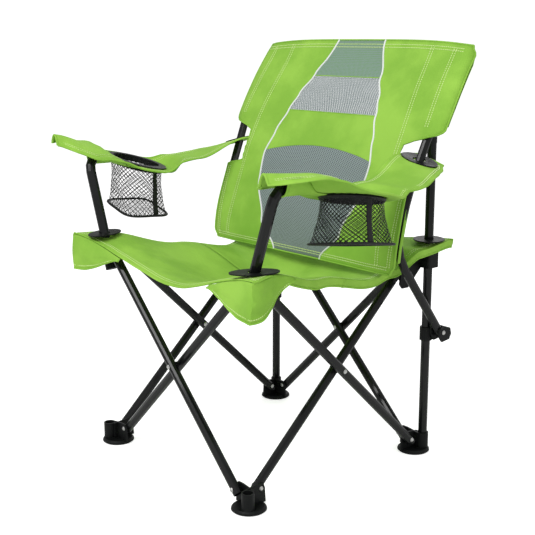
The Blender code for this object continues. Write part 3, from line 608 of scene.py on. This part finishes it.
# Seat: one sling in two halves that part at its middle fold, with its edge strips turned down

seatCloth = {
    "z": 0.487, "thickness": 0.0026, "valance": 0.017,
    "half": ((-0.292, 0.322), (-0.19, 0.290), (-0.02, 0.256), (0.12, 0.250), (0.21, 0.280), (0.304, 0.284)),
    "side": ((-0.24, 0.0), (-0.06, 0.040), (0.09, 0.064), (0.15, 0.050), (0.205, 0.012), (0.30, 0.0)),
    "middle": ((-0.29, 0.064), (-0.1, 0.055), (0.05, 0.045), (0.15, 0.016), (0.19, 0.004)),
}


def seatHeight(x, y):
    spec = seatCloth
    across = min(abs(x) / through(spec["half"], y), 1)
    return spec["z"] - through(spec["side"], y) - through(spec["middle"], y) * (1 - across * across) ** 2


def seatPlace(u, y, bow):
    # u runs past 0 and 1 on to the strips that hang from the sides
    across = (2 * u - 1) * 1.10
    held = max(min(across, 1), -1)
    y = y + bow * (1 - held * held)
    half = through(seatCloth["half"], y)
    x = held * half
    z = seatHeight(x, y)
    loose = 1 - held * held
    z += loose * (ripple(x, y, 0, 6) * 0.006 + ripple(x, y, 2, 15) * 0.0022)
    z += 0.0022 * loose * math.sin(math.atan2(y + 0.29, abs(x) - 0.33) * 26) * through(((-0.3, 1), (-0.1, 0)), y)
    over = (abs(across) - 1) / 0.10
    if over > 0:
        hang = through(((-0.25, 0.2), (-0.16, 1.0)), y)
        z -= seatCloth["valance"] * over * hang
        x -= math.copysign(0.004 * over * over + 0.001 * math.sin(y * 90) * over, x)
    return Vector((x, y, z))


def seatPieces():
    for name, body, low, high, bowLow, bowHigh in (
        ("seatFront", "seat_front", -0.292, 0.003, 0.030, 0.0),
        ("seatRear", "seat_rear", -0.003, 0.304, 0.0, -0.065),
    ):
        def place(u, v):
            # the rear half's edge tucks under the front half's at the middle fold
            y = low * (1 - v) + high * v
            tuck = 0.0010 * max(0.006 - y, 0) / 0.009 if high > 0.1 else 0.0
            return seatPlace(u, y, bowLow * (1 - v) + bowHigh * v) - Vector((0, 0, tuck))

        made = clothPiece(name, 48, 26, place, (0.66, 0.30), "lime", seatCloth["thickness"])
        front = body == "seat_front"
        edge = 0.0 if front else 1.0
        hem = [place((part / 60 - 0.5) / 1.10 + 0.5, edge) for part in range(61)]
        sides = [[place(u, part / 40) for part in range(41)] for u in (0.0, 1.0)]
        rim = barPiece(name + "Hem", [hem, *sides], 0.0030, "lime", 8, 0.75)
        lines = []
        for inset in (0.030, 0.052):
            v = inset if front else 1 - inset
            lines.append([place((part / 60 - 0.5) / 1.12 + 0.5, v) + Vector((0, 0, 0.0017)) for part in range(61)])
        for u in (0.062, 0.072, 0.928, 0.938):
            lines.append([place(u, part / 40) + Vector((0, 0, 0.0017)) for part in range(41)])
        sewn = stitchPiece(name + "Stitches", lines, (0, 0, 1))
        for piece in (made, rim, sewn):
            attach(piece, body)
            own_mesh(piece)
        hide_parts(body + "_panel")
    print("seat made")


# Front corner flaps: the rounded pockets that hang over the hubs

cornerFlap = {"front": 0.160, "side": 0.125, "drop": 0.074, "edge": -0.292, "bow": 0.030, "thickness": 0.0020}


def flapPlace(sign, u, v):
    # u runs from the front edge round the corner to the side edge, and v up from the hem
    spec = cornerFlap
    along = 2 * u - 1
    corner = through(seatCloth["half"], spec["edge"])
    out = 0.0035 + 0.006 * (1 - v)
    if along < 0:
        x = corner + along * spec["front"]
        y = spec["edge"] + spec["bow"] * (1 - (x / corner) ** 2) - out
        x -= 0.0015
    else:
        y = spec["edge"] + along * spec["side"] - out * (1 - along)
        x = through(seatCloth["half"], y) + out * along - 0.0015
    deep = (1 - along * along) ** 1.5
    top = seatHeight(min(x, corner), max(y, spec["edge"])) - 0.0014
    swell = math.sin(math.pi * min(v * 1.1, 1)) * deep
    folds = ripple(x * 1.0, y * 1.0, v * 0.15, 26) * 0.006 * (1 - v * 0.6) * deep
    pinch = 0.010 * max(1 - abs(along) / 0.35, 0) * (1 - v) * deep
    x += 0.004 * swell * (1 if along >= 0 else 0.2) + folds - pinch * 0.35
    y -= 0.004 * swell * (1 if along < 0 else 0.2) - folds * 0.5 - pinch * 0.35
    return Vector((sign * x, y, top - (spec["drop"] * deep + 0.004) * (1 - v)))


def flapPieces():
    for hand, sign in hands:
        made = clothPiece(f"cornerFlap_{hand}", 36, 16, lambda u, v: flapPlace(sign, u, v), (0.29, 0.08), "lime",
                          cornerFlap["thickness"], flip=sign < 0)
        low = [flapPlace(sign, part / 48, 0.0) for part in range(49)]
        hem = barPiece(f"flapHem_{hand}", [low], 0.0026, "lime", 8, 0.8)
        out = Vector((sign * 0.7, -0.7, 0))
        line = [flapPlace(sign, part / 48, 0.10) + out * 0.0020 for part in range(3, 46)]
        sewn = stitchPiece(f"flapStitches_{hand}", [line], out)
        for piece in (made, hem, sewn):
            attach(piece, f"hub_front_{hand}")
        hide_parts(f"corner_flap_{hand}")
    print("corner flaps made")


# Arms: a waisted strip from the post to the back pole, with the cup ring and a pocket for the post

armCloth = {
    "front": -0.3069, "rear": 0.200, "thickness": 0.0034, "ringCentre": (0.367, -0.092, 0.633), "ringOuter": 0.075,
    "middle": ((-0.3069, 0.366), (-0.25, 0.360), (-0.092, 0.367), (0.04, 0.340), (0.20, 0.300)),
    "height": ((-0.31, 0.692), (-0.22, 0.682), (-0.11, 0.640), (0.03, 0.636), (0.165, 0.668), (0.20, 0.672)),
    "tilt": ((-0.30, 0.22), (-0.09, 0.17), (0.03, -0.02), (0.15, -0.25)),
    "half": ((-0.3069, 0.012), (-0.27, 0.052), (-0.235, 0.074), (-0.09, 0.089), (0.04, 0.068), (0.14, 0.060),
             (0.17, 0.054), (0.20, 0.036)),
    "arch": ((-0.29, 0.020), (-0.21, 0.016), (-0.13, 0.0)), "tips": {1: -0.003, -1: 0.014},
    "ringTilt": (0.17, -0.205), "ringSeat": 0.0018, "cloth": 0.0026,
}


def ringHeight(x, y):
    spec = armCloth
    return (spec["ringCentre"][2] + spec["ringTilt"][0] * (x - spec["ringCentre"][0])
            + spec["ringTilt"][1] * (y - spec["ringCentre"][1]))


def armPlace(across, y, sign=1, rise=0.0):
    spec = armCloth
    half = through(spec["half"], y)
    x = through(spec["middle"], y) + across * half
    z = through(spec["height"], y) + through(spec["tilt"], y) * across * half
    z += spec["tips"][sign] * through(((-0.307, 1.0), (-0.22, 0.0)), y) - through(spec["arch"], y) * across * across
    away = math.hypot(x - spec["ringCentre"][0], y - spec["ringCentre"][1])
    share = through(((spec["ringOuter"] + 0.012, 0.0), (spec["ringOuter"] + 0.042, 1.0)), away)
    z = z * share + (ringHeight(x, y) - spec["cloth"] / 2 - spec["ringSeat"]) * (1 - share)
    return Vector((sign * x, y, z + rise))


def armPieces():
    spec = armCloth
    length = spec["rear"] - spec["front"]
    for hand, sign in hands:
        def place(u, v):
            y = spec["front"] + length * v
            point = armPlace(2 * u - 1, y, sign)
            away = math.hypot(abs(point.x) - spec["ringCentre"][0], y - spec["ringCentre"][1])
            point.z += ripple(point.x, y, 4, 24) * 0.0016 * through(((0.085, 0.0), (0.12, 1.0)), away)
            return point

        bm = clothGrid(26, 64, place, (0.15, length))
        if sign < 0:
            bmesh.ops.reverse_faces(bm, faces=bm.faces)
        holes = [face for face in bm.faces if armHole(face.calc_center_median(), sign)]
        bmesh.ops.delete(bm, geom=holes, context="FACES")
        made = thicken(addPiece(f"armCloth_{hand}", bm, "lime", 70), spec["thickness"] * 0.75)
        outline = [place(0, part / 64) for part in range(65)] + [place(part / 12, 1) for part in range(1, 12)]
        outline += [place(1, 1 - part / 64) for part in range(65)] + [place(1 - part / 12, 0) for part in range(1, 13)]
        hem = barPiece(f"armHem_{hand}", [outline], 0.0030, "lime", 8, 0.8)
        lines = []
        for across in (0.86, 0.78):
            for way in (1, -1):
                lines.append([armPlace(way * across, spec["front"] + 0.012 + (length - 0.024) * part / 70, sign, 0.0021)
                              for part in range(71)])
        for part in (0.016, 0.022):
            lines.append([armPlace(0.8 * (2 * step / 12 - 1), spec["rear"] - part, sign, 0.0021) for step in range(13)])
        lines = [[point for point in line if not armHole(point, sign, 0.012)] for line in lines]
        sewn = stitchPiece(f"armStitches_{hand}", [line for line in lines if len(line) > 1], (0, 0, 1))

        def pocket(u, v):
            # a loop of cloth under the arm that the post's end sits in
            angle = math.pi * u
            y = -0.236 + 0.110 * v
            drop = through(((0.0, 1.0), (0.35, 1.0), (1.0, 0.05)), v)
            x = 0.332 - through(((0.0, 0.019), (0.35, 0.034)), v) * math.cos(angle)
            top = armPlace((x - through(spec["middle"], y)) / through(spec["half"], y), y, sign)
            low = min(0.655 - 0.0135 - top.z, -0.004) * math.sin(angle) ** 0.8 * drop
            return Vector((sign * x, y, top.z - 0.0022 + low))

        loop = clothPiece(f"armPocket_{hand}", 20, 16, pocket, (0.105, 0.110), "lime", 0.0014, flip=sign > 0)
        rim = barPiece(f"pocketHem_{hand}", [[pocket(part / 24, 0) for part in range(25)]], 0.0018, "lime", 6)
        for piece in (made, hem, sewn, loop, rim):
            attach(piece, f"pole_{hand}")
            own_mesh(piece)
        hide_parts(f"arm_{hand}")
    print("arms made")


def armHole(point, sign, margin=0.0):
    x, y = sign * point.x, point.y
    inRing = math.hypot(x - 0.367, y + 0.092) < 0.062 + margin
    return inRing or math.hypot(x - 0.2975, y - 0.168) < 0.016 + margin * 0.5


# Cup pouches: netting from the ring down to a square sewn bottom

pouch = {
    "top": 0.0600, "tape": 0.013, "square": 5.0, "low": {1: 0.0640, -1: 0.0570}, "floor": {1: 0.539, -1: 0.520},
    "slope": {1: (0.17, -0.14), -1: (0.24, -0.05)},
}


def pouchPoint(sign, angle, v, out=0.0):
    # v runs from the bottom seam at 0 up to the ring at 1
    spec = pouch
    power = 2 + (spec["square"] - 2) * (1 - v) ** 1.5
    wide, slope = spec["low"][sign], spec["slope"][sign]
    radius = wide + (spec["top"] - wide) * v - 0.004 * math.sin(math.pi * v)
    turned = angle - 0.07
    reach = (abs(math.cos(turned)) ** power + abs(math.sin(turned)) ** power) ** (-1 / power)
    radius = (radius + out + 0.0016 * ripple(angle * 0.3, v, sign, 5)) * min(reach, 1.24)
    x = 0.367 + radius * math.cos(angle)
    y = -0.092 + radius * math.sin(angle)
    top = ringHeight(x, y) - 0.0062
    low = spec["floor"][sign] + slope[0] * (x - 0.367) + slope[1] * (y + 0.092)
    return Vector((sign * x, y, low + (top - low) * v))


def pouchPieces():
    for hand, sign in hands:
        around = 2 * math.pi * pouch["low"][sign]
        net = clothPiece(f"pouchNet_{hand}", 64, 14,
                         lambda u, v: pouchPoint(sign, 2 * math.pi * u, v), (around, 0.112), "pouchNet", 0.0006,
                         flip=sign < 0)

        def bottom(u, v):
            edge = pouchPoint(sign, 2 * math.pi * u, 0.0)
            middle = Vector((sign * 0.367, -0.092, pouch["floor"][sign] - 0.002))
            return middle.lerp(edge, 0.02 + 0.98 * v)

        base = clothPiece(f"pouchBase_{hand}", 48, 6, bottom, (around, 0.066), "pouchNet", 0.0006, flip=sign > 0)
        low = [pouchPoint(sign, 2 * math.pi * part / 72, 0.0, 0.0015) for part in range(73)]
        top = [pouchPoint(sign, 2 * math.pi * part / 72, 0.985, 0.001) for part in range(73)]
        binding = barPiece(f"pouchBinding_{hand}", [low, top], 0.0036, "tape", 8, 0.7)
        seam = -0.24 if sign > 0 else math.pi - 0.24

        def strip(u, v):
            return pouchPoint(sign, seam + (u - 0.5) * pouch["tape"] / 0.064, 0.01 + 0.98 * v, 0.0014)

        tape = clothPiece(f"pouchTape_{hand}", 4, 14, strip, (pouch["tape"], 0.112), "tape", 0.0010, flip=sign < 0)

        def collar(u, v):
            return pouchPoint(sign, 2 * math.pi * u, 0.93 + 0.07 * v, 0.0014)

        band = clothPiece(f"pouchCollar_{hand}", 64, 2, collar, (around, 0.010), "tape", 0.0012, flip=sign < 0)
        for piece in (net, base, binding, band, tape):
            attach(piece, f"cup_{hand}")
        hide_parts(f"cup_pouch_{hand}")
    print("pouches made")


# Frame parts keep their CAD shape and take their own finish


def finishFrame():
    slots = {part["node"]: part["material_slot"] for part in frame["record"]["subparts"]}
    finishes = {"black_tube": "tube", "black_plastic": "plastic", "steel": "steel"}
    for name, slot in slots.items():
        if slot not in finishes:
            continue
        node = frame["nodes"][name]
        if not node.material_slots:
            node.data.materials.append(paints[finishes[slot]])
        for place in node.material_slots:
            place.material = paints[finishes[slot]]
    print("frame finished")


makeCamera()
makeStudio()
finishFrame()
backPiece()
seatPieces()
flapPieces()
armPieces()
pouchPieces()

sizes = {"load": sizeAtLoad, "finish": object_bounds()}
{name: [[float(value) for value in corner] for corner in pair] for name, pair in sizes.items()}
